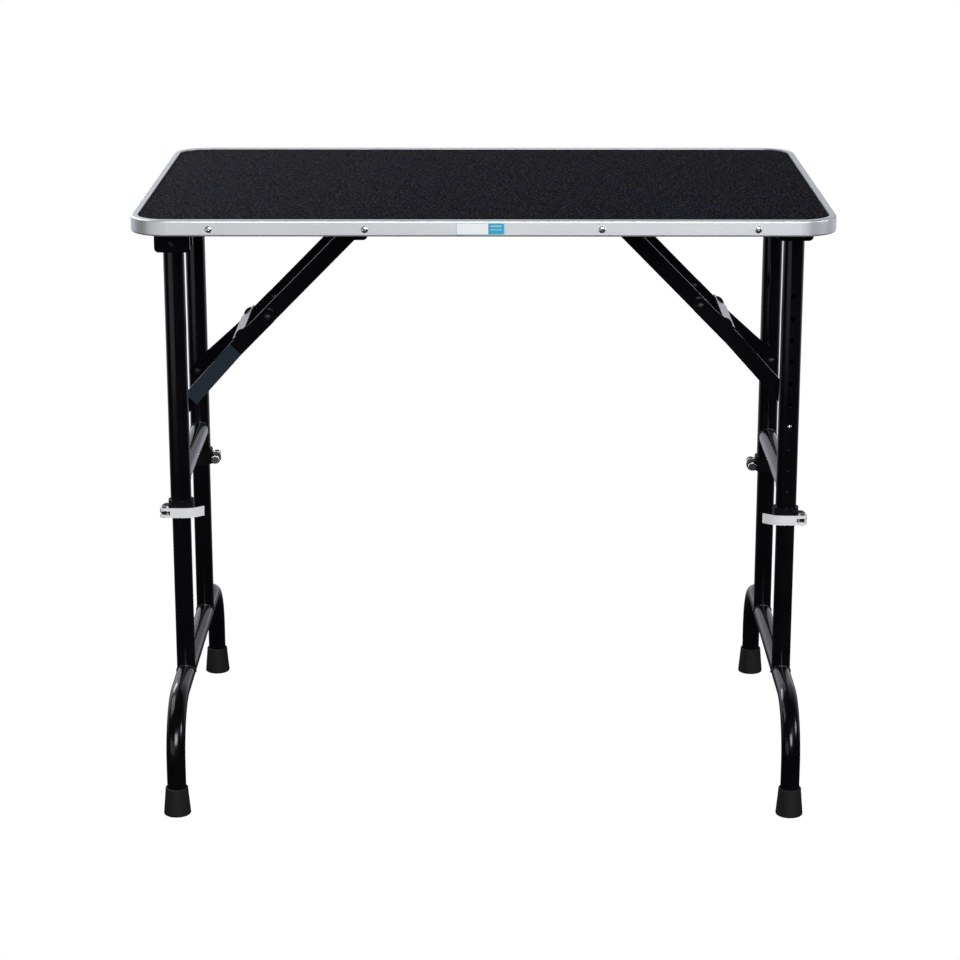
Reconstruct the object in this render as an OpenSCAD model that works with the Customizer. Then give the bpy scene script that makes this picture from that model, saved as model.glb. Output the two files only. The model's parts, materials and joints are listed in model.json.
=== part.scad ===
// Folding grooming table with two telescoping leg frames.
// Origin: centre of the floor rectangle under the feet.  +X runs along the
// long side, +Y to the back and +Z up.  All sizes are in millimetres.

/* [Table top] */
// Length over the metal rim
top_l = 914.4; // [860:1:1000]
// Width over the metal rim
top_w = 609.6; // [600:1:700]
// Height of the rim above the floor, as set in this pose
rim_top = 821; // [810:1:830]
// Radius of the table's corners, seen from above
corner_r = 50; // [30:1:80]
// Height of the rim extrusion
rim_h = 21; // [20:1:23]
// Wall of the rim extrusion
rim_t = 2; // [1.5:0.5:2.5]
// Width of the rim's top and bottom lips
lip_w = 9; // [8:0.5:12]
// Board thickness
board_t = 15; // [12:0.5:15.5]

/* [Legs] */
// Distance of the legs from the middle, along X
leg_x = 417; // [405:1:420]
// Distance of the legs from the middle, along Y
leg_y = 135; // [120:1:150]
// Outside diameter of the upper tubes
upper_od = 28.6; // [28.6:0.1:30]
// Outside diameter of the lower tubes and the foot bars
lower_od = 25.8; // [22:0.1:25.8]
// Wall of all tubes
tube_t = 1.2; // [0.8:0.1:1.2]
// Left hinge below the board
left_drop = 41.6; // [38:0.2:44]
// Right hinge below the board
right_drop = 25.4; // [24.6:0.2:27]
// Open end of the left upper tubes above the floor
left_tube_end = 383; // [378:1:390]
// Open end of the right upper tubes above the floor
right_tube_end = 373; // [370:1:382]
// Upper tubes' open end to their crossbar
crossbar_above_end = 49; // [46:1:60]
// Top of the lower tubes, inside the upper ones
lower_top = 536; // [500:1:560]

/* [Feet] */
// Height of the foot bar's straight stretch
foot_bar_z = 150; // [140:1:180]
// Distance of the feet from the middle, along Y
foot_y = 289; // [270:1:290]
// Bend radius of the foot bar's centreline
foot_bend_r = 77; // [60:1:85]
// Height of a rubber foot
foot_h = 39; // [30:1:45]
// Rubber foot diameter at the floor
foot_base_d = 37; // [34:1:40]
// Rubber foot diameter at its top
foot_neck_d = 31; // [29:1:33]

/* [Braces] */
// Hinge to the brace's upper pivot, along X
brace_reach = 238; // [230:1:245]
// Upper brace pivot above the leg hinge
brace_rise = 4; // [2:0.5:6]
// Hinge to the brace's lower pivot, down the leg
brace_drop = 237; // [232:1:242]
// Width of the flat brace bars
arm_w = 22; // [18:1:24]
// Thickness of the flat brace bars
arm_t = 3; // [2:0.5:3]
// Outer face of the upper bars, from the middle
arm_y = 67; // [60:1:70]
// Upper bar's length past the middle pivot
arm_tail = 56; // [50:1:57]

/* [Clamps] */
// Outside diameter of the clamp collar
collar_d = 35; // [33:0.5:37]
// Height of the collar
collar_h = 22; // [20:1:24]
// Height of the lever strip
lever_h = 13.5; // [11:0.5:15]
// Thickness of the lever strip
lever_t = 2; // [1.5:0.5:2.5]

/* [Hidden] */
$fn = 64;

// Running gap of pins in their holes, and play between telescoping parts
pin_gap = 0.05;
layer_gap = 0.3;

// Table top levels
board_z = rim_top - rim_h + rim_t;
board_top = board_z + board_t;
lip_z = rim_top - rim_t;
mat_top = lip_z + 0.5;
rim_edge_r = 2.5;

// Rim screws
screw_r = 1.9;
screw_hole_r = screw_r + 0.2;
screw_head_r = 4.5;
screw_head_h = 2.2;
screw_len = 22;
rim_screw_z = board_z + board_t / 2;
long_side_screws = [-352, -152, 152, 352];
short_side_screws = [-150, 150];

// Label on the front rim
label_x0 = -35;
label_l = 62.5;
label_h = rim_h - 2 * rim_edge_r;
label_t = 0.4;

// Leg hinge brackets
bracket_t = 2.5;
bracket_l = 48;
bracket_gap = upper_od / 2 + 1;
bracket_below = 10.4;
bracket_corner_r = 6;
bracket_screw_x = 17;
bolt_r = 3;
bolt_head_r = 4.6;
bolt_head_h = 2.6;
nut_h = 5;
nut_r = 5.6;
bolt_past_nut = 1.5;
bracket_screw_len = 12;
tube_above_hinge = 12;

// Telescoping tubes
upper_r = upper_od / 2;
lower_r = lower_od / 2;
upper_bore_r = upper_r - tube_t;
lower_bore_r = lower_r - tube_t;
vent_r = 2;
slit_w = 2.5;
slit_h = 34;

// Rubber boot: the rubber left under the end of the foot bar, the upright
// band at the floor, and the edges above it
foot_sole = 8;
foot_edge_r = 2.5;
foot_band_h = 9;
foot_ledge = 1.2;
foot_bevel = 1.5;

// Braces, in the plane of the fold
arm_dx = brace_reach;
arm_dz = -brace_drop - brace_rise;
arm_len = norm([arm_dx, arm_dz]) / 2;
arm_angle = atan2(arm_dz, arm_dx);
arm_end_r = arm_w / 2 + 1;
arm_pin_r = 3;
arm_head_r = 4.8;
arm_head_h = 2;
lower_arm_y = arm_y + layer_gap;
leg_side_y = leg_y - upper_r;
pivot_boss_h = 3.4;
pivot_boss_gap = 0.4;
end_arm_y = leg_side_y - pivot_boss_h - pivot_boss_gap - arm_t;
splay_from = 65;
splay_to = 148;
pivot_boss_r = 9;
brace_bracket_l = 40;
brace_bracket_below = 13;
brace_screw_x = 12;
brace_screw_y = 48;
saddle_from = 31;
saddle_t = 2;
saddle_side_h = 21;
saddle_corner_r = 12;
tail_step = 4;

// Height stops: a row of holes in one upper tube of each frame, and the
// sprung button that stands in one of them
button_z = 509;
button_r = 3.2;
button_hole_r = button_r + 0.15;
button_h = 1.7;
index_pitch = 30;
index_steps = [-3:6];

// Clamps: positions are from the tube's axis, on the near right leg
collar_r = collar_d / 2;
collar_below_end = 3;
ear_x = 22;
ear_r = 7;
ear_t = 5;
ear_slit = 3;
clamp_bolt_r = 2.5;
clamp_bolt_hole_r = clamp_bolt_r + 0.1;
seat_t = 1.5;
seat_w = 10;
cam_r = 6;
cam_offset = 0.8;
cam_to_seat = 0.9;
cam_y = -(ear_slit / 2 + ear_t + seat_t + cam_to_seat + cam_r);
cam_slot_h = 5.6;
cam_slot_from = 13.5;
barrel_r = 3.2;
barrel_h = lever_h + 2;
cam_to_lever_face = 0.4;
lever_y = cam_y + cam_offset - cam_r - cam_to_lever_face;
lever_bend_x = -6;
lever_bend_r = 28;
lever_bend_angle = 37;
lever_tip = 12;
bend_swell = 0.05;
bend_lap = 0.5;
clamp_nut_r = 5.6;
clamp_nut_h = 8;
clamp_nut_cap = 2;
clamp_nut_grooves = 12;
clamp_nut_groove_r = 0.7;

LEFT = -1;
RIGHT = 1;
NEAR = -1;
FAR = 1;

// Colours of the finishes
POWDER_BLACK = [0.06, 0.06, 0.07];
RUBBER_BLACK = [0.10, 0.10, 0.10];
ZINC = [0.80, 0.81, 0.83];
ALUMINIUM = [0.78, 0.80, 0.83];

// ---- Helpers -------------------------------------------------------------

// Height of one side's leg hinge
function hinge_z(side) = board_z - (side == LEFT ? left_drop : right_drop);

// Heights of the upper tubes' open end, their crossbar and their clamps
function tube_end(side) = side == LEFT ? left_tube_end : right_tube_end;
function crossbar_z(side) = tube_end(side) + crossbar_above_end;
function collar_z(side) = tube_end(side) - collar_below_end;
function clamp_bolt_z(side) = collar_z(side) + ear_r;

// Everything on a side is drawn for the right and mirrored for the left
module on_side(side) {
    if (side == LEFT) mirror([1, 0, 0]) children();
    else children();
}

// Repeats a child on the near and the far side of the middle plane
module near_and_far() {
    children();
    mirror([0, 1, 0]) children();
}

// Flat outline with round corners
module round_rect(l, w, r) {
    square([l - 2 * r, w], center = true);
    square([l, w - 2 * r], center = true);
    for (x = [-1, 1], y = [-1, 1])
        translate([x * (l / 2 - r), y * (w / 2 - r)]) circle(r);
}

// Carries a profile round the edge of a table of size l by w.
// The profile's x = 0 is the outer face, and its y is up.
module rim_sweep(l, w, r) {
    for (i = [0:3]) {
        face = (i % 2 == 0 ? l : w) / 2;
        run = (i % 2 == 0 ? w : l) - 2 * r;
        rotate(90 * i) {
            translate([face, 0, 0]) rotate([90, 0, 0])
                linear_extrude(run, center = true) children();
            translate([face - r, run / 2, 0])
                rotate_extrude(angle = 90) translate([r, 0]) children();
        }
    }
}

// Moves to the axis of the near or the far tube.  The far one is turned half
// round, as each frame's two tubes carry the same fittings.
module tube_place(y_side) {
    translate([leg_x, y_side * leg_y, 0]) rotate(y_side == FAR ? 180 : 0) children();
}

module both_tubes() {
    tube_place(NEAR) children();
    tube_place(FAR) children();
}

// The tube with the height holes: near on the right frame, far on the left
module button_tube(side) {
    tube_place(side == RIGHT ? NEAR : FAR) children();
}

// Round bar along Y, from y0 to y1, through the point x, z
module y_rod(x, z, y0, y1, r) {
    translate([x, y0, z]) rotate([-90, 0, 0]) cylinder(r = r, h = y1 - y0);
}

// Screw with a low domed head, pointing up from its head's seat at z = 0
module screw(len) {
    cylinder(r = screw_r, h = len);
    rotate([180, 0, 0]) rotate_extrude() screw_head_profile(screw_head_r, screw_head_h);
}

// Hole for a screw, a little deeper than the screw is long
module pilot_hole(len) {
    cylinder(r = screw_r + pin_gap, h = len + 1);
}

// Half of a domed head: flat underside at y = 0, crown at y = h
module screw_head_profile(r, h) {
    dome_r = (r * r + h * h) / (2 * h);
    intersection() {
        translate([0, h - dome_r]) circle(dome_r);
        square([r, h]);
    }
}

// Domed rivet or bolt head on a face at y, looking away along +Y or -Y
module y_head(x, z, y, direction, r, h) {
    translate([x, y, z]) rotate([-90 * direction, 0, 0])
        rotate_extrude() screw_head_profile(r, h);
}

// Sheet ear in the plane of the fold, hanging down from the board:
// l wide, from z_low up to the board, with its lower corners rounded
module hanging_ear(x, y0, l, z_low, r) {
    h = board_z - z_low;
    translate([x, y0 + bracket_t, board_z]) rotate([90, 0, 0])
        linear_extrude(bracket_t) {
            translate([-l / 2, -h + r]) square([l, h - r]);
            translate([-l / 2 + r, -h]) square([l - 2 * r, r]);
            for (s = [-1, 1]) translate([s * (l / 2 - r), -h + r]) circle(r);
        }
}

// ---- Table top -----------------------------------------------------------

module rim_screw_places() {
    for (x = long_side_screws, s = [-1, 1])
        translate([x, s * top_w / 2, rim_screw_z]) rotate([90 * s, 0, 0]) children();
    for (y = short_side_screws, s = [-1, 1])
        translate([s * top_l / 2, y, rim_screw_z]) rotate([0, -90 * s, 0]) children();
}

module table_board() {
    color("burlywood") difference() {
        translate([0, 0, board_z]) linear_extrude(board_t)
            round_rect(top_l - 2 * rim_t, top_w - 2 * rim_t, corner_r - rim_t);
        rim_screw_places() pilot_hole(screw_len);
        for (side = [LEFT, RIGHT]) on_side(side) {
            leg_bracket_screw_places() pilot_hole(bracket_screw_len);
            brace_bracket_screw_places() pilot_hole(bracket_screw_len);
        }
    }
}

// The mat's edge is tucked under the rim's lip, and its field stands proud
module top_mat() {
    field_inset = lip_w + layer_gap;
    color([0.05, 0.05, 0.06]) {
        translate([0, 0, board_top]) linear_extrude(lip_z - board_top)
            round_rect(top_l - 2 * rim_t, top_w - 2 * rim_t, corner_r - rim_t);
        translate([0, 0, board_top]) linear_extrude(mat_top - board_top)
            round_rect(top_l - 2 * field_inset, top_w - 2 * field_inset, corner_r - field_inset);
    }
}

// C-shaped section, open towards the middle of the table
module rim_profile() {
    difference() {
        union() {
            translate([-lip_w, 0]) square([lip_w - rim_edge_r, rim_h]);
            translate([-lip_w, rim_edge_r]) square([lip_w, rim_h - 2 * rim_edge_r]);
            for (y = [rim_edge_r, rim_h - rim_edge_r])
                translate([-rim_edge_r, y]) circle(rim_edge_r);
        }
        translate([-lip_w - 1, rim_t]) square([lip_w + 1 - rim_t, rim_h - 2 * rim_t]);
    }
}

module edge_trim() {
    color(ALUMINIUM) difference() {
        translate([0, 0, rim_top - rim_h]) rim_sweep(top_l, top_w, corner_r) rim_profile();
        rim_screw_places() translate([0, 0, -1]) cylinder(r = screw_hole_r, h = rim_t + 2);
    }
}

module trim_screws() {
    color(ZINC) rim_screw_places() screw(screw_len);
}

module rim_label() {
    color([0.75, 0.88, 0.93])
        translate([label_x0, -top_w / 2 - label_t, rim_top - rim_h + rim_edge_r])
            cube([label_l, label_t, label_h]);
}

// ---- Leg hinges ----------------------------------------------------------

module leg_bracket_screw_places() {
    for (x = [-1, 1], y = [-1, 1])
        translate([leg_x + x * bracket_screw_x, y * leg_y, board_z - bracket_t]) children();
}

// Upside-down U on each leg, one ear in front of the tube and one behind
module leg_brackets(side) {
    z_low = hinge_z(side) - bracket_below;
    y_ear = leg_y + bracket_gap;
    y_width = 2 * (bracket_gap + bracket_t);
    color(POWDER_BLACK) on_side(side) near_and_far() difference() {
        union() {
            for (y = [y_ear, leg_y - bracket_gap - bracket_t])
                hanging_ear(leg_x, y, bracket_l, z_low, bracket_corner_r);
            translate([leg_x - bracket_l / 2, leg_y - y_width / 2, board_z - bracket_t])
                cube([bracket_l, y_width, bracket_t]);
        }
        y_rod(leg_x, hinge_z(side), leg_y - y_width, leg_y + y_width, bolt_r + pin_gap);
        leg_bracket_screw_places() translate([0, 0, -1])
            cylinder(r = screw_hole_r, h = bracket_t + 2);
    }
}

module leg_bracket_screws(side) {
    color(ZINC) on_side(side) leg_bracket_screw_places() screw(bracket_screw_len);
}

module hinge_bolts(side) {
    outer = leg_y + bracket_gap + bracket_t;
    inner = leg_y - bracket_gap - bracket_t;
    color(POWDER_BLACK) on_side(side) near_and_far() {
        y_rod(leg_x, hinge_z(side), inner - nut_h - bolt_past_nut, outer, bolt_r);
        y_head(leg_x, hinge_z(side), outer, 1, bolt_head_r, bolt_head_h);
    }
}

// Hexagonal nuts on the inner ends of the hinge bolts
module hinge_nuts(side) {
    inner = leg_y - bracket_gap - bracket_t;
    color(POWDER_BLACK) on_side(side) near_and_far() difference() {
        translate([leg_x, inner - nut_h, hinge_z(side)]) rotate([-90, 0, 0])
            cylinder(r = nut_r, h = nut_h, $fn = 6);
        y_rod(leg_x, hinge_z(side), inner - nut_h - 1, inner + 1, bolt_r + pin_gap);
    }
}

// ---- Upper leg frames ----------------------------------------------------

// Two tubes, a welded crossbar, and a flat boss for each brace pivot
module upper_leg_frame(side) {
    low = tube_end(side);
    top = hinge_z(side) + tube_above_hinge;
    pivot_z = hinge_z(side) - brace_drop;
    bar_z = crossbar_z(side);
    bar_half = leg_y - upper_r / 2;
    bore_half = leg_side_y - 2;
    color(POWDER_BLACK) on_side(side) difference() {
        union() {
            for (y = [-leg_y, leg_y])
                translate([leg_x, y, low]) cylinder(r = upper_r, h = top - low);
            y_rod(leg_x, bar_z, -bar_half, bar_half, lower_r);
            near_and_far()
                y_rod(leg_x, pivot_z, leg_side_y - pivot_boss_h, leg_y, pivot_boss_r);
        }
        for (y = [-leg_y, leg_y]) {
            translate([leg_x, y, low - 1]) cylinder(r = upper_bore_r, h = top - low + 2);
            y_rod(leg_x, hinge_z(side), y - upper_r - 1, y + upper_r + 1, bolt_r + pin_gap);
        }
        y_rod(leg_x, bar_z, -bore_half, bore_half, lower_bore_r);
        translate([leg_x, 0, bar_z - lower_r - 1]) cylinder(r = vent_r, h = lower_r);
        both_tubes() translate([upper_r / 2, -slit_w / 2, low - 1])
            cube([upper_r, slit_w, slit_h + 1]);
        button_tube(side) for (i = index_steps)
            y_rod(0, button_z + i * index_pitch, -upper_r - 1, 0, button_hole_r);
    }
}

// Sprung button in one of the height holes, with its dome outside the tube
module height_button(side) {
    color(ZINC) on_side(side) button_tube(side) {
        y_rod(0, button_z, -upper_r, -lower_r - pin_gap, button_r);
        y_head(0, button_z, -upper_r, -1, button_r, button_h);
    }
}

// ---- Lower leg frames ----------------------------------------------------

// Centreline solid of the foot bar: straight, then bent down at both ends
module foot_bar(r) {
    straight = foot_y - foot_bend_r;
    y_rod(leg_x, foot_bar_z, -straight, straight, r);
    near_and_far() {
        translate([leg_x, straight, foot_bar_z - foot_bend_r]) rotate([0, 90, 0]) rotate(90)
            rotate_extrude(angle = 90) translate([foot_bend_r, 0]) circle(r);
        translate([leg_x, foot_y, foot_sole])
            cylinder(r = r, h = foot_bar_z - foot_bend_r - foot_sole);
    }
}

module lower_leg_frame(side) {
    color(POWDER_BLACK) on_side(side) difference() {
        union() {
            foot_bar(lower_r);
            for (y = [-leg_y, leg_y])
                translate([leg_x, y, foot_bar_z]) cylinder(r = lower_r, h = lower_top - foot_bar_z);
        }
        foot_bar(lower_bore_r);
        for (y = [-leg_y, leg_y])
            translate([leg_x, y, foot_bar_z + lower_r])
                cylinder(r = lower_bore_r, h = lower_top - foot_bar_z);
        button_tube(side) y_rod(0, button_z, -upper_r, 0, button_hole_r);
    }
}

// Tapered rubber boot with a rolled bottom edge
module rubber_feet(side) {
    base_r = foot_base_d / 2;
    neck_r = foot_neck_d / 2;
    band_top = foot_band_h + foot_bevel;
    color(RUBBER_BLACK) on_side(side) near_and_far() translate([leg_x, foot_y, 0])
        difference() {
            rotate_extrude() {
                square([base_r - foot_edge_r, foot_edge_r]);
                translate([base_r - foot_edge_r, foot_edge_r]) circle(foot_edge_r);
                polygon([
                    [0, foot_edge_r], [base_r, foot_edge_r], [base_r, foot_band_h],
                    [base_r - foot_ledge, band_top], [neck_r, foot_h - foot_bevel],
                    [neck_r - foot_bevel, foot_h], [0, foot_h]
                ]);
            }
            translate([0, 0, foot_sole]) cylinder(r = lower_r, h = foot_h);
        }
}

// ---- Folding braces ------------------------------------------------------

// Puts a shape drawn in the bar's own frame on a side's brace: x runs from
// the upper pivot down the bar, z is across it towards the corner
module on_brace(side) {
    on_side(side) translate([leg_x - brace_reach, 0, hinge_z(side) + brace_rise])
        rotate([0, -arm_angle, 0]) children();
}

module brace_bracket_screw_places() {
    for (x = [-1, 1], y = [-1, 1])
        translate([leg_x - brace_reach + x * brace_screw_x, y * brace_screw_y, board_z - bracket_t])
            children();
}

// Channel under the board, with an ear outside each upper bar
module brace_bracket(side) {
    x = leg_x - brace_reach;
    pivot_z = hinge_z(side) + brace_rise;
    ear_y = arm_y + layer_gap;
    half = ear_y + bracket_t;
    color(POWDER_BLACK) on_side(side) difference() {
        union() {
            near_and_far()
                hanging_ear(x, ear_y, brace_bracket_l, pivot_z - brace_bracket_below,
                            bracket_corner_r);
            translate([x - brace_bracket_l / 2, -half, board_z - bracket_t])
                cube([brace_bracket_l, 2 * half, bracket_t]);
        }
        y_rod(x, pivot_z, -half - 1, half + 1, arm_pin_r + pin_gap);
        brace_bracket_screw_places() translate([0, 0, -1])
            cylinder(r = screw_hole_r, h = bracket_t + 2);
    }
}

module brace_bracket_screws(side) {
    color(ZINC) on_side(side) brace_bracket_screw_places() screw(bracket_screw_len);
}

// Headed pin through the faces from y0 to y1, in the bar's own frame
module brace_rivet(x, y0, y1) {
    y_rod(x, 0, y0, y1, arm_pin_r);
    y_head(x, 0, y1, 1, arm_head_r, arm_head_h);
    y_head(x, 0, y0, -1, arm_head_r, arm_head_h);
}

module brace_top_rivets(side) {
    color(POWDER_BLACK) on_brace(side) near_and_far()
        brace_rivet(0, arm_y - arm_t, arm_y + layer_gap + bracket_t);
}

// Each bar has a tail past the middle pivot, full width only under the saddle
module upper_brace_bars(side) {
    color(POWDER_BLACK) on_brace(side) near_and_far()
        translate([0, arm_y, 0]) rotate([90, 0, 0]) linear_extrude(arm_t) difference() {
            union() {
                for (x = [0, arm_len]) translate([x, 0]) circle(arm_w / 2);
                translate([0, -arm_w / 2]) square([arm_len, arm_w]);
                translate([arm_len, -arm_w / 2]) square([arm_tail, arm_w - tail_step]);
                translate([arm_len + saddle_from, -arm_w / 2])
                    square([arm_tail - saddle_from, arm_w]);
            }
            circle(arm_pin_r + pin_gap);
            translate([arm_len, 0]) circle(arm_pin_r + pin_gap);
        }
}

// Bent plate welded across the upper bars' tails.  It lies on the lower bars
// when the brace is straight, so the brace can only break towards the corner,
// and its sides hang outside the lower bars and keep them in line.
module brace_stop_saddle(side) {
    inner = lower_arm_y + arm_t + layer_gap;
    top = arm_w / 2 + saddle_t;
    length = arm_tail - saddle_from;
    color(POWDER_BLACK) on_brace(side) translate([arm_len + saddle_from, 0, 0]) {
        translate([0, -inner - saddle_t / 2, arm_w / 2])
            cube([length, 2 * inner + saddle_t, saddle_t]);
        near_and_far() translate([0, inner + saddle_t, top]) rotate([90, 0, 0])
            linear_extrude(saddle_t) {
                translate([0, saddle_corner_r - saddle_side_h])
                    square([length, saddle_side_h - saddle_corner_r]);
                translate([saddle_corner_r, -saddle_side_h])
                    square([length - saddle_corner_r, saddle_side_h]);
                translate([saddle_corner_r, saddle_corner_r - saddle_side_h])
                    circle(saddle_corner_r);
            }
    }
}

module brace_middle_rivets(side) {
    color(POWDER_BLACK) on_brace(side) near_and_far()
        brace_rivet(arm_len, arm_y - arm_t, lower_arm_y + arm_t);
}

// Flat bar, straight near the middle pivot, splayed out to the leg, then
// straight again beside the tube
module lower_brace_bar() {
    x_end = 2 * arm_len + arm_end_r;
    x_start = arm_len - arm_end_r;
    x1 = arm_len + splay_from;
    x2 = arm_len + splay_to;
    slope = atan2(end_arm_y - lower_arm_y, x2 - x1);
    mitre = arm_t * tan(slope / 2);
    difference() {
        intersection() {
            translate([0, 0, -arm_w / 2 - 1]) linear_extrude(arm_w + 2) polygon([
                [x_start, lower_arm_y], [x1, lower_arm_y], [x2, end_arm_y], [x_end, end_arm_y],
                [x_end, end_arm_y + arm_t], [x2 - mitre, end_arm_y + arm_t],
                [x1 - mitre, lower_arm_y + arm_t], [x_start, lower_arm_y + arm_t]
            ]);
            translate([0, leg_y, 0]) rotate([90, 0, 0]) linear_extrude(leg_y) {
                translate([arm_len, -arm_w / 2]) square([arm_len, arm_w]);
                for (x = [arm_len, 2 * arm_len]) translate([x, 0]) circle(arm_w / 2);
            }
        }
        y_rod(arm_len, 0, 0, leg_y, arm_pin_r + pin_gap);
        y_rod(2 * arm_len, 0, 0, leg_y, arm_pin_r + pin_gap);
    }
}

module lower_brace_bars(side) {
    color(POWDER_BLACK) on_brace(side) near_and_far() lower_brace_bar();
}

// Pin in each lower bar's end, flush with the face that meets the leg
module brace_end_rivets(side) {
    color(POWDER_BLACK) on_brace(side) near_and_far() {
        y_rod(2 * arm_len, 0, end_arm_y, end_arm_y + arm_t, arm_pin_r);
        y_head(2 * arm_len, 0, end_arm_y, -1, arm_head_r, arm_head_h);
    }
}

// ---- Quick-release clamps ------------------------------------------------

// Each is drawn round the near right tube's axis, with z = 0 at the collar's
// foot, its ears outwards and its lever across the front.
module both_clamps(side) {
    on_side(side) both_tubes() translate([0, 0, collar_z(side)]) children();
}

// Rod along Y through both ears, at the height of the clamp bolt
module clamp_rod(y0, y1, r) {
    y_rod(ear_x, ear_r, y0, y1, r);
}

module clamp_collar() {
    ear_y = ear_slit / 2 + ear_t;
    difference() {
        union() {
            cylinder(r = collar_r, h = collar_h);
            translate([collar_r / 2, -ear_y, 0])
                cube([ear_x - collar_r / 2, 2 * ear_y, 2 * ear_r]);
            clamp_rod(-ear_y, ear_y, ear_r);
        }
        translate([0, 0, collar_below_end]) cylinder(r = upper_r + pin_gap, h = collar_h);
        translate([0, 0, -1]) cylinder(r = lower_r + layer_gap, h = collar_h + 2);
        translate([0, -ear_slit / 2, -1]) cube([2 * ear_x, ear_slit, collar_h + 2]);
        clamp_rod(-2 * ear_y, 2 * ear_y, clamp_bolt_hole_r);
    }
}

module clamp_collars(side) {
    color(POWDER_BLACK) both_clamps(side) clamp_collar();
}

module clamp_bolts(side) {
    nut_face = ear_slit / 2 + ear_t;
    color(ZINC) both_clamps(side)
        clamp_rod(cam_y, nut_face + clamp_nut_h - clamp_nut_cap, clamp_bolt_r);
}

// Round adjusting nuts with a grooved rim
module clamp_nuts(side) {
    nut_face = ear_slit / 2 + ear_t;
    color(ZINC) both_clamps(side) difference() {
        clamp_rod(nut_face, nut_face + clamp_nut_h, clamp_nut_r);
        clamp_rod(nut_face - 1, nut_face + clamp_nut_h - clamp_nut_cap, clamp_bolt_r + pin_gap);
        for (i = [0:clamp_nut_grooves - 1]) {
            a = 360 * i / clamp_nut_grooves;
            translate([clamp_nut_r * cos(a), 0, clamp_nut_r * sin(a)])
                clamp_rod(nut_face + clamp_nut_cap, nut_face + clamp_nut_h + 1,
                          clamp_nut_groove_r);
        }
    }
}

// Hollowed seats that the cams bear on
module cam_seats(side) {
    ear_face = -ear_slit / 2 - ear_t;
    cam_reach = cam_r + cam_offset + pin_gap;
    color(ZINC) both_clamps(side) difference() {
        translate([ear_x - seat_w / 2, ear_face - seat_t, ear_r - lever_h / 2])
            cube([seat_w, seat_t, lever_h]);
        translate([ear_x, cam_y, -1]) cylinder(r = cam_reach, h = 2 * collar_h);
        clamp_rod(ear_face - seat_t - 1, ear_face + 1, clamp_bolt_hole_r);
    }
}

// Cross barrels: the bolt ends in them and the lever turns round them
module cam_barrels(side) {
    color(ZINC) both_clamps(side) difference() {
        translate([ear_x, cam_y, ear_r - barrel_h / 2])
            cylinder(r = barrel_r, h = barrel_h);
        clamp_rod(cam_y - 1, cam_y + barrel_r + 1, clamp_bolt_r + pin_gap);
    }
}

// Lever: a cam, a straight strip across the front of the collar, a bend
// round it and a short straight tip.  Rolling has left the bend a little
// thicker than the strip, and the straight parts run a little way into it.
module lever_blank() {
    translate([ear_x, cam_y + cam_offset, 0]) cylinder(r = cam_r, h = lever_h);
    translate([lever_bend_x - bend_lap, lever_y, 0])
        cube([ear_x - lever_bend_x + bend_lap, lever_t, lever_h]);
    translate([lever_bend_x, lever_y + lever_bend_r, 0]) {
        rotate(-90 - lever_bend_angle) rotate_extrude(angle = lever_bend_angle)
            translate([lever_bend_r - lever_t - bend_swell, 0])
                square([lever_t + 2 * bend_swell, lever_h]);
        rotate(-lever_bend_angle) translate([-lever_tip, -lever_bend_r, 0])
            cube([lever_tip + bend_lap, lever_t, lever_h]);
    }
}

// The slot lets the cam clear the bolt while the lever turns
module clamp_lever(side, y_side) {
    cut = ear_x + cam_r;
    color(ZINC) on_side(side) tube_place(y_side) translate([0, 0, clamp_bolt_z(side)])
        difference() {
            translate([0, 0, -lever_h / 2]) lever_blank();
            translate([ear_x, cam_y, -lever_h]) cylinder(r = barrel_r + pin_gap, h = 2 * lever_h);
            translate([cam_slot_from, cam_y - cut, -cam_slot_h / 2])
                cube([cut, 2 * cut, cam_slot_h]);
        }
}

// ---- Nodes ---------------------------------------------------------------

table_board();
top_mat();
edge_trim();
trim_screws();
rim_label();
leg_brackets(LEFT);  // left_leg_brackets
leg_brackets(RIGHT);  // right_leg_brackets
leg_bracket_screws(LEFT);  // left_leg_bracket_screws
leg_bracket_screws(RIGHT);  // right_leg_bracket_screws
hinge_bolts(LEFT);  // left_hinge_bolts
hinge_bolts(RIGHT);  // right_hinge_bolts
hinge_nuts(LEFT);  // left_hinge_nuts
hinge_nuts(RIGHT);  // right_hinge_nuts
upper_leg_frame(LEFT);  // left_upper_leg_frame
upper_leg_frame(RIGHT);  // right_upper_leg_frame
lower_leg_frame(LEFT);  // left_lower_leg_frame
lower_leg_frame(RIGHT);  // right_lower_leg_frame
rubber_feet(LEFT);  // left_rubber_feet
rubber_feet(RIGHT);  // right_rubber_feet
height_button(LEFT);  // left_height_button
height_button(RIGHT);  // right_height_button
brace_bracket(LEFT);  // left_brace_bracket
brace_bracket(RIGHT);  // right_brace_bracket
brace_bracket_screws(LEFT);  // left_brace_bracket_screws
brace_bracket_screws(RIGHT);  // right_brace_bracket_screws
brace_top_rivets(LEFT);  // left_brace_top_rivets
brace_top_rivets(RIGHT);  // right_brace_top_rivets
upper_brace_bars(LEFT);  // left_upper_brace_bars
upper_brace_bars(RIGHT);  // right_upper_brace_bars
brace_stop_saddle(LEFT);  // left_brace_stop_saddle
brace_stop_saddle(RIGHT);  // right_brace_stop_saddle
brace_middle_rivets(LEFT);  // left_brace_middle_rivets
brace_middle_rivets(RIGHT);  // right_brace_middle_rivets
lower_brace_bars(LEFT);  // left_lower_brace_bars
lower_brace_bars(RIGHT);  // right_lower_brace_bars
brace_end_rivets(LEFT);  // left_brace_end_rivets
brace_end_rivets(RIGHT);  // right_brace_end_rivets
clamp_collars(LEFT);  // left_clamp_collars
clamp_collars(RIGHT);  // right_clamp_collars
clamp_bolts(LEFT);  // left_clamp_bolts
clamp_bolts(RIGHT);  // right_clamp_bolts
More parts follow.
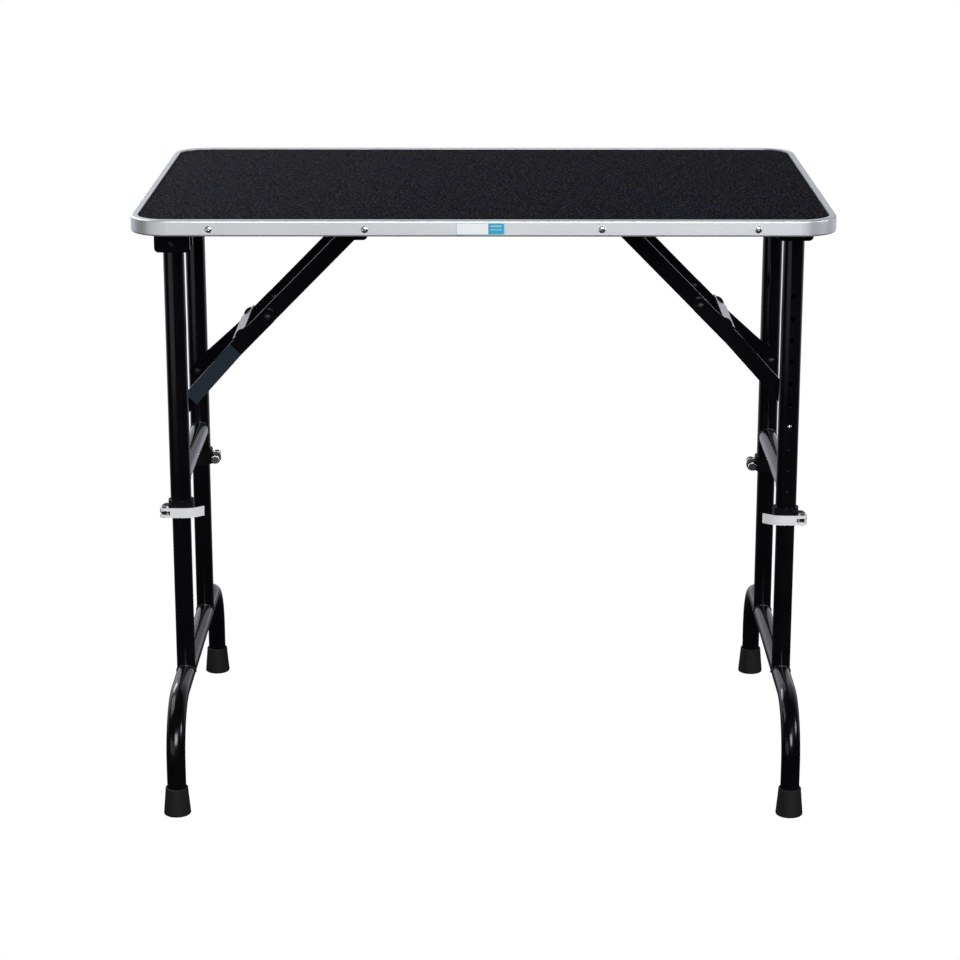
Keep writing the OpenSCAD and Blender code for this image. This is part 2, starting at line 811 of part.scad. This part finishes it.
clamp_nuts(LEFT);  // left_clamp_nuts
clamp_nuts(RIGHT);  // right_clamp_nuts
cam_seats(LEFT);  // left_cam_seats
cam_seats(RIGHT);  // right_cam_seats
cam_barrels(LEFT);  // left_cam_barrels
cam_barrels(RIGHT);  // right_cam_barrels
clamp_lever(LEFT, NEAR);  // near_left_clamp_lever
clamp_lever(LEFT, FAR);  // far_left_clamp_lever
clamp_lever(RIGHT, NEAR);  // near_right_clamp_lever
clamp_lever(RIGHT, FAR);  // far_right_clamp_lever
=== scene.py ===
"""Finishes, small fittings and studio for the folding grooming table."""

import json
import math

import bmesh
import bpy
from mathutils import Matrix, Vector


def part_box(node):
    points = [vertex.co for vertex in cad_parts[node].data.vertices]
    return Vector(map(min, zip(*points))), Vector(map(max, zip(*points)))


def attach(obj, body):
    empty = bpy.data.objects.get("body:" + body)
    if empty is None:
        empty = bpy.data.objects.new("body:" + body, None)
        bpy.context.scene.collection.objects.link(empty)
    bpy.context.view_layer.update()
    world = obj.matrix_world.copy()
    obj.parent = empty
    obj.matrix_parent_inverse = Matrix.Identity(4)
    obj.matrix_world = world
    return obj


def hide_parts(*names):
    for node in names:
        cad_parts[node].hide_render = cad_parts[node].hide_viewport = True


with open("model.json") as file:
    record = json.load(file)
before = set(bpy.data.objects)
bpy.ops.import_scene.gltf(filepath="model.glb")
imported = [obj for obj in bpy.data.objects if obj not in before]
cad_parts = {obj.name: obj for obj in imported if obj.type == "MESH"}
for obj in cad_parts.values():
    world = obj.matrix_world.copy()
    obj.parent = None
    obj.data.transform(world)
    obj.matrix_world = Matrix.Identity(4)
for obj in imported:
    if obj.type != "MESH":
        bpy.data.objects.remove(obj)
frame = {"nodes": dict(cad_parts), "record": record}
nodes = frame["nodes"]
slots = {row["node"]: row["material_slot"] for row in frame["record"]["subparts"]}
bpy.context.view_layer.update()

# Sizes of the table that the small pieces share with it, in mm
MM = 0.001
MAT_CORNER = 48.0
MAT_TUCK = 7.3           # width of the mat's edge under the rim's lip
MAT_TUCKED = 2.0         # thickness of that edge
SCREW_HEAD = 2.2
LONG_SIDE_SCREWS_X = (-352, -152, 152, 352)
SHORT_SIDE_SCREWS_Y = (-150, 150)
UPPER_TUBE_R = 14.3
LOWER_TUBE_R = 12.9      # also the crossbar's and the foot bar's
LEG_Y = 135
CROSSBAR_ABOVE_END = 49  # from the upper tubes' ends to the crossbar's middle
FOOT_BAR_Z = 150
BOOT_R = 18.5
WELD_R = 1.5
WELD_STEPS = 96
WELD_RIPPLE = 4          # steps from one ripple of a bead to the next


# ---- Node helpers ----------------------------------------------------------

class Nodes:
    """A node tree, with short calls for adding and joining nodes."""

    def __init__(self, tree):
        self.tree = tree

    def node(self, kind, **inputs):
        made = self.tree.nodes.new(kind)
        for key, value in inputs.items():
            self.put(made.inputs[key.replace("_", " ")], value)
        return made

    def put(self, socket, value):
        if isinstance(value, bpy.types.NodeSocket):
            self.tree.links.new(value, socket)
        else:
            socket.default_value = value

    def either(self, fac, first, second):
        """Mix of two shaders: the first where fac is 0, the second where it is 1."""
        made = self.node("ShaderNodeMixShader", Fac=fac)
        self.put(made.inputs[1], first)
        self.put(made.inputs[2], second)
        return made.outputs["Shader"]

    def is_seen(self):
        return self.node("ShaderNodeLightPath").outputs["Is Camera Ray"]


class Paint(Nodes):
    """A node material, with short calls for what the finishes share."""

    def __init__(self, name):
        self.material = bpy.data.materials.new(name)
        self.material.use_nodes = True
        super().__init__(self.material.node_tree)
        self.bsdf = self.tree.nodes["Principled BSDF"]
        self.place = self.node("ShaderNodeTexCoord").outputs["Object"]

    def set(self, **inputs):
        """Inputs of the surface shader."""
        for key, value in inputs.items():
            self.put(self.bsdf.inputs[key.replace("_", " ")], value)
        return self

    def stretched(self, scale):
        """Object coordinates with a scale for each axis, for drawn or brushed grain."""
        made = self.node("ShaderNodeMapping", Vector=self.place)
        made.inputs["Scale"].default_value = scale
        return made.outputs["Vector"]

    def noise(self, scale, detail=3.0, rough=0.5, place=None):
        made = self.node("ShaderNodeTexNoise", Vector=place or self.place, Scale=scale,
                         Detail=detail, Roughness=rough)
        return made.outputs["Fac"]

    def cells(self, scale):
        made = self.node("ShaderNodeTexVoronoi", Vector=self.place, Scale=scale)
        return made.outputs["Distance"]

    def ramp(self, fac, *stops):
        """Colour or grey ramp: each stop is (position, colour or grey level)."""
        made = self.node("ShaderNodeValToRGB", Fac=fac)
        ramp = made.color_ramp
        while len(ramp.elements) < len(stops):
            ramp.elements.new(0.5)
        for element, (position, tone) in zip(ramp.elements, stops):
            element.position = position
            element.color = grey(tone) if isinstance(tone, float) else (*tone, 1.0)
        return made.outputs["Color"]

    def scaled(self, value, low, high):
        """A 0..1 value carried to low..high."""
        made = self.node("ShaderNodeMapRange", Value=value, To_Min=low, To_Max=high)
        return made.outputs["Result"]

    def sum(self, a, b, weight):
        """One value and a share of another."""
        made = self.node("ShaderNodeMath")
        made.operation = "MULTIPLY_ADD"
        self.put(made.inputs[0], b)
        made.inputs[1].default_value = weight
        self.put(made.inputs[2], a)
        return made.outputs["Value"]

    def mix(self, fac, a, b):
        """Mix of two colours, each a socket or three channels."""
        made = self.node("ShaderNodeMix")
        made.data_type = "RGBA"
        self.put(made.inputs["Factor"], fac)
        self.put(made.inputs[6], a if isinstance(a, bpy.types.NodeSocket) else (*a, 1.0))
        self.put(made.inputs[7], b if isinstance(b, bpy.types.NodeSocket) else (*b, 1.0))
        return made.outputs[2]

    def bump(self, height, depth_mm, strength=1.0):
        """Relief of the given depth from a 0..1 height."""
        made = self.node("ShaderNodeBump", Height=height, Strength=strength,
                         Distance=depth_mm * MM)
        self.put(self.bsdf.inputs["Normal"], made.outputs["Normal"])
        return self


def grey(level):
    return (level, level, level, 1.0)


# ---- Finishes --------------------------------------------------------------

def powder_coat():
    """Black powder coat: faint orange peel and a slightly uneven gloss."""
    p = Paint("powder_coat")
    peel = p.noise(420, 2)
    haze = p.noise(22, 4)
    tone = p.ramp(haze, (0.3, (0.0018, 0.0018, 0.0024)), (0.7, (0.0032, 0.0032, 0.0042)))
    p.set(Base_Color=tone, Roughness=p.scaled(haze, 0.12, 0.20), Specular_IOR_Level=0.32,
          Specular_Tint=(0.90, 0.92, 1.0, 1.0))
    return p.bump(peel, 0.03, 0.15).material


def collar_black():
    """Satin black paint on the cast clamp collars."""
    p = Paint("collar_black")
    cast = p.noise(900, 3)
    p.set(Base_Color=p.ramp(cast, (0.3, (0.002, 0.002, 0.0025)), (0.7, (0.005, 0.005, 0.0055))),
          Roughness=p.scaled(cast, 0.30, 0.44), Specular_IOR_Level=0.15)
    return p.bump(cast, 0.06, 0.6).material


def mat_rubber():
    """Matt black rubber with a fine pebbled face and a scatter of paler flecks."""
    p = Paint("mat_rubber")
    pebble = p.cells(520)
    grit = p.noise(1500, 3, 0.6)
    mottle = p.noise(26, 3)
    flecks = p.noise(300, 2, 0.6)
    cool = p.mix(p.ramp(mottle, (0.35, 0.0), (0.65, 1.0)), (0.0008, 0.0008, 0.0012),
                 (0.0008, 0.0008, 0.0022))
    pale = p.mix(p.ramp(mottle, (0.42, 0.0), (0.58, 1.0)), (0.050, 0.046, 0.052),
                 (0.041, 0.041, 0.070))
    tone = p.mix(p.ramp(flecks, (0.50, 0.0), (0.63, 1.0)), cool, pale)
    p.set(Base_Color=tone, Roughness=p.scaled(grit, 0.70, 0.90), Specular_IOR_Level=0.02)
    return p.bump(p.sum(pebble, grit, 0.35), 0.35, 0.8).material


def rim_aluminium():
    """Satin anodised extrusion with fine drawing lines along it."""
    p = Paint("rim_aluminium")
    lines = p.noise(1.0, 4, 0.65, place=p.stretched((14, 14, 2600)))
    haze = p.noise(9, 3)
    p.set(Base_Color=p.ramp(haze, (0.3, (0.70, 0.715, 0.745)), (0.7, (0.76, 0.775, 0.80))),
          Metallic=0.82, Roughness=p.scaled(lines, 0.36, 0.50), Specular_IOR_Level=0.5)
    return p.bump(lines, 0.012, 0.35).material


def zinc_hardware():
    """Bright zinc plate with a fine tumbled texture."""
    p = Paint("zinc_hardware")
    tumbled = p.noise(700, 3)
    p.set(Base_Color=p.ramp(tumbled, (0.3, (0.60, 0.60, 0.60)), (0.7, (0.78, 0.78, 0.79))),
          Metallic=1.0, Roughness=p.scaled(tumbled, 0.16, 0.32))
    return p.bump(tumbled, 0.02, 0.4).material


def black_hardware():
    """Black plated rivets, bolts and nuts, worn a little brighter than the paint."""
    p = Paint("black_hardware")
    worn = p.noise(520, 3)
    p.set(Base_Color=p.ramp(worn, (0.35, (0.006, 0.006, 0.007)), (0.75, (0.018, 0.018, 0.020))),
          Metallic=0.25, Roughness=p.scaled(worn, 0.30, 0.44), Specular_IOR_Level=0.4)
    return p.bump(worn, 0.02, 0.4).material


def weld_metal():
    """Painted weld bead with its ripples showing through the coat."""
    p = Paint("weld_metal")
    ripple = p.noise(600, 2)
    p.set(Base_Color=p.ramp(ripple, (0.3, (0.004, 0.004, 0.005)), (0.7, (0.009, 0.009, 0.010))),
          Roughness=p.scaled(ripple, 0.22, 0.36), Specular_IOR_Level=0.35)
    return p.bump(ripple, 0.06, 0.5).material


def lever_steel():
    """Bright plated lever, with fine polishing lines along the strip."""
    p = Paint("lever_steel")
    lines = p.noise(1.0, 3, 0.6, place=p.stretched((60, 60, 3000)))
    p.set(Base_Color=p.ramp(lines, (0.3, (0.96, 0.96, 0.97)), (0.7, (1.0, 1.0, 1.0))),
          Metallic=0.2, Roughness=p.scaled(lines, 0.26, 0.40))
    return p.bump(lines, 0.01, 0.3).material


def foot_rubber():
    """Matt moulded rubber with a dusty bloom."""
    p = Paint("foot_rubber")
    skin = p.noise(1100, 3, 0.6)
    bloom = p.noise(60, 4)
    p.set(Base_Color=p.ramp(bloom, (0.3, (0.0045, 0.0045, 0.0050)), (0.75, (0.009, 0.009, 0.010))),
          Roughness=p.scaled(skin, 0.60, 0.80), Specular_IOR_Level=0.3)
    return p.bump(skin, 0.10, 0.6).material


def plywood():
    """Birch face veneer: long pores and slow flame figure along the table."""
    p = Paint("plywood")
    figure = p.noise(1.0, 4, 0.55, place=p.stretched((1.6, 22, 22)))
    pores = p.noise(1.0, 3, 0.7, place=p.stretched((30, 1400, 1400)))
    tone = p.ramp(figure, (0.30, (0.50, 0.36, 0.21)), (0.50, (0.60, 0.45, 0.28)),
                  (0.70, (0.66, 0.51, 0.33)))
    pored = p.mix(p.ramp(pores, (0.58, 0.0), (0.70, 0.6)), tone, (0.33, 0.22, 0.12))
    p.set(Base_Color=pored, Roughness=p.scaled(pores, 0.55, 0.72))
    return p.bump(pores, 0.05, 0.4).material


def film(name, colour):
    """Printed label film under a clear gloss."""
    p = Paint(name)
    print_grain = p.noise(2400, 2)
    faint = tuple(0.93 * channel for channel in colour)
    p.set(Base_Color=p.mix(print_grain, faint, colour), Roughness=0.32, Coat_Weight=0.5,
          Coat_Roughness=0.08)
    return p.bump(print_grain, 0.004, 0.2).material


FINISHES = {
    "powder_coat": powder_coat(),
    "collar_black": collar_black(),
    "mat_rubber": mat_rubber(),
    "rim_aluminium": rim_aluminium(),
    "zinc_hardware": zinc_hardware(),
    "black_hardware": black_hardware(),
    "weld_metal": weld_metal(),
    "lever_steel": lever_steel(),
    "foot_rubber": foot_rubber(),
    "plywood": plywood(),
    "label_film": film("label_film", (0.42, 0.72, 0.86)),
    "label_white": film("label_white", (0.96, 0.97, 0.98)),
    "label_blue": film("label_blue", (0.03, 0.40, 0.62)),
    "label_pale": film("label_pale", (0.30, 0.62, 0.78)),
}


def dress_cad_nodes():
    """Gives every CAD node the finish of its material slot."""
    for name, obj in nodes.items():
        obj.data.materials.clear()
        obj.data.materials.append(FINISHES[slots[name]])


# ---- Mesh helpers ----------------------------------------------------------

class Shape:
    """Mesh made of lathed, swept and stacked parts, in metres and in the shared frame."""

    def __init__(self):
        self.bm = bmesh.new()

    def rings(self, rings, close_ends=True):
        """Skin over rings of points.  A ring of one point is a pole."""
        made = [[self.bm.verts.new(point) for point in ring] for ring in rings]
        for low, high in zip(made, made[1:]):
            count = max(len(low), len(high))
            for i in range(count):
                k = (i + 1) % count
                corners = [low[i % len(low)], low[k % len(low)], high[k % len(high)],
                           high[i % len(high)]]
                face = [v for n, v in enumerate(corners) if v not in corners[:n]]
                self.bm.faces.new(face)
        if close_ends:
            for ring, turn in ((made[0], -1), (made[-1], 1)):
                if len(ring) > 2:
                    self.bm.faces.new(ring[::turn])
        return made

    def lathe(self, profile, place=Matrix.Identity(4), steps=48):
        """Turns (radius, height) pairs in mm round the z axis of a place."""
        rings = []
        for radius, height in profile:
            turns = 1 if radius == 0 else steps
            rings.append([place @ Vector((radius * MM * math.cos(a), radius * MM * math.sin(a),
                                          height * MM))
                          for a in (2 * math.pi * i / steps for i in range(turns))])
        self.rings(rings, close_ends=False)

    def bead(self, path, radius, ripple, steps=8):
        """Round bead along a closed path, a little thicker at each weld ripple."""
        count = len(path)
        rings = []
        for i, point in enumerate(path):
            along = (path[(i + 1) % count] - path[i - 1]).normalized()
            side = along.cross(Vector((0, 0, 1)))
            if side.length < 0.1:
                side = along.cross(Vector((0, 1, 0)))
            side.normalize()
            up = side.cross(along)
            thick = radius * (1.0 + 0.14 * math.cos(2 * math.pi * i / ripple))
            rings.append([point + thick * (math.cos(a) * side + math.sin(a) * up)
                          for a in (2 * math.pi * k / steps for k in range(steps))])
        made = self.rings(rings, close_ends=False)
        last, first = made[-1], made[0]
        for k in range(steps):
            n = (k + 1) % steps
            self.bm.faces.new([last[k], last[n], first[n], first[k]])

    def block(self, low, high):
        """Box between two corners in metres."""
        x0, y0, z0 = low
        x1, y1, z1 = high
        ring = [(x0, y0), (x1, y0), (x1, y1), (x0, y1)]
        self.rings([[(x, y, z0) for x, y in ring], [(x, y, z1) for x, y in ring]])

    def copies(self, mesh, places):
        for place in places:
            part = mesh.copy()
            part.transform(place)
            self.bm.from_mesh(part)
            bpy.data.meshes.remove(part)

    def mesh(self, name, smooth_below=40):
        bmesh.ops.recalc_face_normals(self.bm, faces=self.bm.faces)
        made = bpy.data.meshes.new(name)
        self.bm.to_mesh(made)
        self.bm.free()
        made.shade_smooth()
        made.set_sharp_from_angle(angle=math.radians(smooth_below))
        return made

    def place(self, name, finish, body, slot=None, replaces=()):
        obj = bpy.data.objects.new(name, self.mesh(name))
        obj.data.materials.append(FINISHES[finish])
        bpy.context.scene.collection.objects.link(obj)
        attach(obj, body)
        slot or finish
        if replaces:
            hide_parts(*replaces)
        return obj


# ---- Table top pieces ------------------------------------------------------

def rounded_outline(half_x, half_y, radius, height, steps=16):
    """Ring of points round a table outline with round corners."""
    ring = []
    for quarter, (sx, sy) in enumerate(((1, 1), (-1, 1), (-1, -1), (1, -1))):
        for i in range(steps + 1):
            a = math.pi / 2 * (quarter + i / steps)
            ring.append((sx * (half_x - radius) + radius * math.cos(a),
                         sy * (half_y - radius) + radius * math.sin(a), height))
    return ring


def mat_surface():
    """The mat, with a rolled edge where its field rises beside the rim's lip."""
    low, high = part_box("top_mat")
    roll = 0.45
    roll_steps = 4
    roll_foot = 0.05
    lip_gap = 0.5
    rise = [(0.0, 0.0), (0.0, MAT_TUCKED), (MAT_TUCK, MAT_TUCKED)]
    for i in range(roll_steps + 1):
        a = math.pi / 2 * i / roll_steps
        rise.append((MAT_TUCK + lip_gap + roll * (1 - math.cos(a)),
                     MAT_TUCKED + roll_foot + roll * math.sin(a)))
    shape = Shape()
    shape.rings([rounded_outline(high.x - inset * MM, high.y - inset * MM,
                                 (MAT_CORNER - inset) * MM, low.z + up * MM)
                 for inset, up in rise])
    shape.place("mat_surface", "mat_rubber", "table", replaces=["top_mat"])


def label():
    """Plain printed label: pale outline, a white panel and a banded blue one, no lettering."""
    low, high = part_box("rim_label")
    front = low.y
    back = high.y
    tall = high.z - low.z
    edge = 1.1 * MM
    split = low.x + 0.66 * (high.x - low.x)
    proud = 0.06 * MM
    band_starts, band_ends = 3 * MM, 4 * MM        # in from the split and the label's end

    def panel(name, finish, x0, x1, z0, z1, lift, replaces=()):
        shape = Shape()
        shape.block((x0, front - lift, z0), (x1, back if replaces else front + proud, z1))
        shape.place(name, finish, "table", slot="label_film", replaces=replaces)

    panel("label_outline", "label_film", low.x, high.x, low.z, high.z, 0.0, ["rim_label"])
    panel("label_white_panel", "label_white", low.x + edge, split, low.z + edge, high.z - edge,
          proud)
    panel("label_blue_panel", "label_blue", split, high.x - edge, low.z + edge, high.z - edge,
          proud)
    for i, (from_top, share) in enumerate(((0.20, 0.16), (0.52, 0.10))):
        top = high.z - from_top * tall
        panel(f"label_band_{i + 1}", "label_pale", split + band_starts, high.x - band_ends,
              top - share * tall, top, 2 * proud)


def cut(mesh, cutter):
    """The mesh with the cutter's mesh taken away."""
    body = bpy.data.objects.new("cut_body", mesh)
    tool = bpy.data.objects.new("cut_tool", cutter)
    for obj in (body, tool):
        bpy.context.scene.collection.objects.link(obj)
    step = body.modifiers.new("cut", "BOOLEAN")
    step.operation = "DIFFERENCE"
    step.solver = "EXACT"
    step.object = tool
    graph = bpy.context.evaluated_depsgraph_get()
    made = bpy.data.meshes.new_from_object(body.evaluated_get(graph))
    for obj in (body, tool):
        bpy.data.objects.remove(obj)
    return made


def pan_head_screw(length):
    """Pan-head screw with a cross recess, its head above z = 0 and its shank below."""
    shape = Shape()
    shape.lathe([(0, -length), (1.2, -length + 1.5), (1.9, -length + 4.0), (1.9, -0.02),
                 (4.2, 0.0), (4.5, 0.25), (4.45, 0.8), (4.1, 1.4), (3.3, 1.85), (2.0, 2.12),
                 (0, SCREW_HEAD)], steps=32)
    w, h = 0.45 * MM, 2.1 * MM                     # half width and half length of the cross
    cross = [(w, h), (-w, h), (-w, w), (-h, w), (-h, -w), (-w, -w), (-w, -h), (w, -h), (w, -w),
             (h, -w), (h, w), (w, w)]
    taper = 0.55
    bottom = (SCREW_HEAD - 1.1) * MM
    above_head = 3.0 * MM
    recess = Shape()
    recess.rings([[(taper * x if abs(x) > w else x, taper * y if abs(y) > w else y, bottom)
                   for x, y in cross], [(x, y, above_head) for x, y in cross]])
    return cut(shape.mesh("pan_head"), recess.mesh("recess"))


def rim_screws():
    """Screws all round the rim, each with its recess turned another way."""
    low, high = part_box("trim_screws")
    head = SCREW_HEAD * MM
    z = (low.z + high.z) / 2
    screw = pan_head_screw(length=22.0)
    places = []
    for k, x in enumerate(LONG_SIDE_SCREWS_X):
        for s, y in ((-1, low.y + head), (1, high.y - head)):
            places.append(Matrix.Translation((x * MM, y, z))
                          @ Matrix.Rotation(-s * math.pi / 2, 4, "X")
                          @ Matrix.Rotation(0.5 * k + 0.3 * s, 4, "Z"))
    for k, y in enumerate(SHORT_SIDE_SCREWS_Y):
        for s, x in ((-1, low.x + head), (1, high.x - head)):
            places.append(Matrix.Translation((x, y * MM, z))
                          @ Matrix.Rotation(s * math.pi / 2, 4, "Y")
                          @ Matrix.Rotation(0.7 * k + 0.2 * s, 4, "Z"))
    shape = Shape()
    shape.copies(screw, places)
    shape.place("rim_screws", "zinc_hardware", "table", replaces=["trim_screws"])


# ---- Leg pieces ------------------------------------------------------------

def boots():
    """Plain tapered rubber boots with a rolled mouth and a ringed sole."""
    for side in ("left", "right"):
        node = f"{side}_rubber_feet"
        low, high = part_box(node)
        x = (low.x + high.x) / 2
        y = high.y - BOOT_R * MM
        profile = [(0, 0.8), (5.0, 0.8), (5.5, 0.0), (8.5, 0.0), (9.0, 0.9), (11.0, 0.9),
                   (11.5, 0.0), (16.4, 0.0), (17.6, 0.35), (18.3, 1.1), (BOOT_R, 2.2),
                   (18.3, 4.0), (17.2, 16.0), (16.1, 28.0), (15.6, 34.0), (15.5, 36.6),
                   (15.3, 37.9), (14.8, 38.7), (14.2, 39.0), (13.5, 38.8), (13.0, 38.2),
                   (12.95, 37.0), (12.95, 8.0), (0, 8.0)]
        shape = Shape()
        for s in (-1, 1):
            shape.lathe(profile, Matrix.Translation((x, s * y, low.z)), steps=64)
        shape.place(f"{side}_boots", "foot_rubber", f"{side}_lower_leg", replaces=[node])


def round_path(point):
    """Closed path of the points that a function gives for the angles of a turn."""
    return [point(2 * math.pi * i / WELD_STEPS) for i in range(WELD_STEPS)]


def crossbar_welds():
    """Beads where each crossbar meets its two upper tubes."""
    tube_r, bar_r = UPPER_TUBE_R * MM, LOWER_TUBE_R * MM
    for side in ("left", "right"):
        low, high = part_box(f"{side}_upper_leg_frame")
        x = (low.x + high.x) / 2
        bar_z = low.z + CROSSBAR_ABOVE_END * MM
        shape = Shape()
        for s in (-1, 1):
            def point(a):
                dx, dz = bar_r * math.cos(a), bar_r * math.sin(a)
                dy = math.sqrt(max(tube_r ** 2 - dx ** 2, 0.0))
                return Vector((x + dx, s * (high.y - tube_r - dy), bar_z + dz))

            shape.bead(round_path(point), WELD_R * MM, WELD_RIPPLE)
        shape.place(f"{side}_crossbar_welds", "weld_metal", f"{side}_upper_leg",
                    slot="powder_coat")


def foot_bar_welds():
    """Beads where each lower tube stands on the foot bar, sunk a little into the bar."""
    tube_r = LOWER_TUBE_R * MM
    sunk = 0.985
    for side in ("left", "right"):
        low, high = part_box(f"{side}_lower_leg_frame")
        x = (low.x + high.x) / 2
        shape = Shape()
        for y in (-LEG_Y * MM, LEG_Y * MM):
            def point(a):
                dx, dy = tube_r * math.cos(a), tube_r * math.sin(a)
                rise = math.sqrt(max(tube_r ** 2 - dx ** 2, 0.0))
                return Vector((x + dx, y + dy, FOOT_BAR_Z * MM + sunk * rise))

            shape.bead(round_path(point), WELD_R * MM, WELD_RIPPLE)
        shape.place(f"{side}_foot_bar_welds", "weld_metal", f"{side}_lower_leg",
                    slot="powder_coat")


# ---- Camera, light and floor -----------------------------------------------

WHITE = (1.0, 1.0, 1.0, 1.0)
COOL_ROOM = (0.90, 0.92, 1.0, 1.0)
COOL_FLOOR = (0.90, 0.88, 1.0, 1.0)
DAYLIGHT = (1.0, 1.0, 1.0)
BLUE_SHADE = (0.52, 0.74, 1.0)

# name: place and aim in m, width and height in m, power in W, tint
SOFTBOXES = {
    "left_strip": ((-1.75, -1.95, 0.45), (-0.2, 0, 0.45), (2.0, 0.9), 5.5, DAYLIGHT),
    "right_box": ((1.3, -2.1, 1.6), (-0.2, 0, 0.6), (0.9, 0.9), 2.9, BLUE_SHADE),
    "front_box": ((0.6, -4.8, 2.4), (0, 0, 0.8), (2.4, 1.6), 195, DAYLIGHT),
    "top_box": ((-2.2, 0.4, 2.3), (0, 0, 0.6), (1.6, 1.6), 30, DAYLIGHT),
    "right_end_box": ((2.8, -0.9, 1.4), (0.45, 0, 0.8), (0.9, 0.7), 22, DAYLIGHT),
    "left_back_box": ((-2.0, 2.6, 1.7), (-0.3, 0, 0.8), (1.2, 1.0), 24, DAYLIGHT),
}


def camera():
    """The viewpoint: 3.8 m in front of the table and 1.45 m up, through a long lens."""
    place = (0.0053, -3.7614, 1.4486)
    down, left = 15.702, 0.159                     # degrees
    data = bpy.data.cameras.new("camera")
    data.sensor_width = 36.0
    data.lens = 102.634
    obj = bpy.data.objects.new("camera", data)
    obj.location = place
    obj.rotation_euler = (math.radians(90 - down), 0.0, math.radians(left))
    bpy.context.scene.collection.objects.link(obj)
    bpy.context.scene.camera = obj


def softbox(name, place, aim, size, power, tint):
    data = bpy.data.lights.new(name, "AREA")
    data.shape = "RECTANGLE"
    data.size, data.size_y = size
    data.energy = power
    data.color = tint
    obj = bpy.data.objects.new(name, data)
    obj.location = place
    obj.rotation_euler = (Vector(aim) - Vector(place)).to_track_quat("-Z", "Y").to_euler()
    bpy.context.scene.collection.objects.link(obj)


def studio():
    """White to the camera; to the object, a bright backdrop behind and a dim room in front."""
    world = bpy.data.worlds.new("studio")
    bpy.context.scene.world = world
    world.use_nodes = True
    world.node_tree.nodes.clear()
    room = Nodes(world.node_tree)
    way = room.node("ShaderNodeSeparateXYZ",
                    Vector=room.node("ShaderNodeTexCoord").outputs["Generated"])
    behind = room.node("ShaderNodeMapRange", Value=way.outputs["Y"], From_Min=0.1, From_Max=0.8,
                       To_Min=0.02, To_Max=0.78)
    behind.interpolation_type = "SMOOTHSTEP"
    left = room.node("ShaderNodeMapRange", Value=way.outputs["X"], From_Min=-0.6, From_Max=0.6,
                     To_Min=1.15, To_Max=0.55)
    both = room.node("ShaderNodeMath")
    both.operation = "MULTIPLY"
    room.put(both.inputs[0], behind.outputs["Result"])
    room.put(both.inputs[1], left.outputs["Result"])
    felt = room.node("ShaderNodeBackground", Color=COOL_ROOM, Strength=both.outputs["Value"])
    seen = room.node("ShaderNodeBackground", Color=WHITE, Strength=1.0)
    room.node("ShaderNodeOutputWorld", Surface=room.either(
        room.is_seen(), felt.outputs["Background"], seen.outputs["Background"]))
    for name, (place, aim, size, power, tint) in SOFTBOXES.items():
        softbox(name, place, aim, size, power, tint)
    bpy.context.scene.view_settings.view_transform = "Standard"


def floor():
    """White paper to the camera, and dim to the object, so that its undersides stay dark.

    It lies as low as the feet reach with the legs pulled out, and is clear from below.
    """
    half = 30.0
    low = next(joint["range_m"][0] for joint in frame["record"]["behaviour"]["joints"]
               if joint["name"] == "right_leg_height")
    mesh = bpy.data.meshes.new("floor")
    mesh.from_pydata([(-half, -half, low), (half, -half, low), (half, half, low),
                      (-half, half, low)], [], [(0, 1, 2, 3)])
    obj = bpy.data.objects.new("floor", mesh)
    p = Paint("floor_paper")
    depth = p.node("ShaderNodeSeparateXYZ", Vector=p.place).outputs["Y"]
    behind = p.node("ShaderNodeMapRange", Value=depth, From_Min=0.7, From_Max=2.6, To_Min=0.03,
                    To_Max=0.85)
    felt = p.node("ShaderNodeEmission", Color=COOL_FLOOR, Strength=behind.outputs["Result"])
    seen = p.node("ShaderNodeEmission", Color=WHITE, Strength=1.0)
    paper = p.either(p.is_seen(), felt.outputs["Emission"], seen.outputs["Emission"])
    clear = p.node("ShaderNodeBsdfTransparent").outputs["BSDF"]
    from_below = p.node("ShaderNodeNewGeometry").outputs["Backfacing"]
    p.put(p.tree.nodes["Material Output"].inputs["Surface"], p.either(from_below, paper, clear))
    mesh.materials.append(p.material)
    bpy.context.scene.collection.objects.link(obj)


dress_cad_nodes()
mat_surface()
label()
rim_screws()
boots()
crossbar_welds()
foot_bar_welds()
camera()
studio()
floor()
